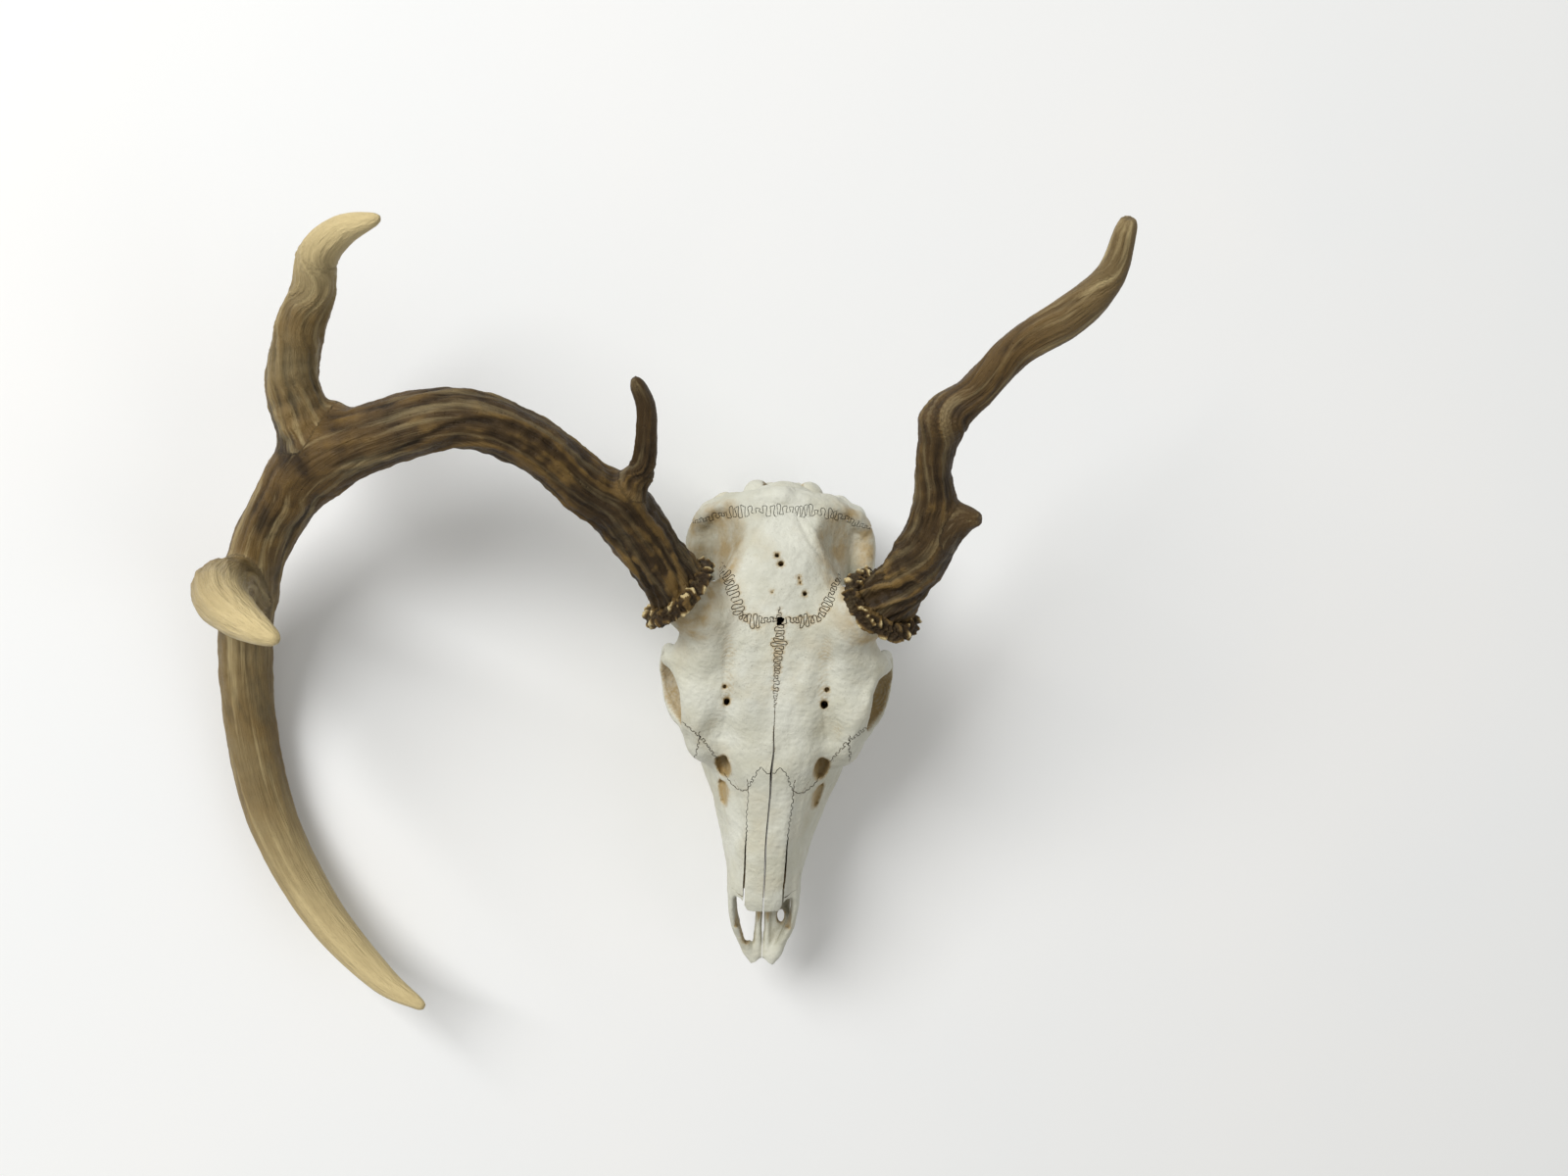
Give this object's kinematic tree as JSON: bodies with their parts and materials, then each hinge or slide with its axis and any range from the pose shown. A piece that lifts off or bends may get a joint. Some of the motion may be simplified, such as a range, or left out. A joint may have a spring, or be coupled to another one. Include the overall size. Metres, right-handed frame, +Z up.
{
  "type": "deer skull with antlers",
  "caption": "Upper skull of an adult buck without its lower jaw, lying on its teeth, with one long branched antler and one short crooked one.",
  "frame": {"origin": "middle of the footprint's bounding box, at the level of the surface that the skull lies on", "axes": "+Z up from that surface; +Y runs from the muzzle to the back of the head as seen from above; +X is then on the animal's left, where the crooked antler is"},
  "size_m": [0.3802, 0.3933, 0.2532],
  "materials": {
    "bone": "matt cleaned bone, off-white with cream and grey shading",
    "antler": "ridged and grooved, dark brown near the burrs, ochre along the beams, worn ivory at the tips"
  },
  "bodies": {
    "root": {"antler_left_base": "antler", "antler_left_beam": "antler", "antler_left_tip": "antler", "antler_right_base": "antler", "antler_right_beam_lower": "antler", "antler_right_beam_middle": "antler", "antler_right_beam_outer": "antler", "antler_right_beam_tip": "antler", "antler_right_brow_tine": "antler", "antler_right_fork": "antler", "antler_right_second_tine": "antler", "antler_right_third_tine": "antler", "cranium": "bone", "frontal_left": "bone", "frontal_right": "bone", "maxilla_left": "bone", "maxilla_right": "bone", "nasal_left": "bone", "nasal_right": "bone", "occipital": "bone", "premaxilla_left": "bone", "premaxilla_right": "bone", "zygomatic_left": "bone", "zygomatic_right": "bone"}
  },
  "joints": []
}
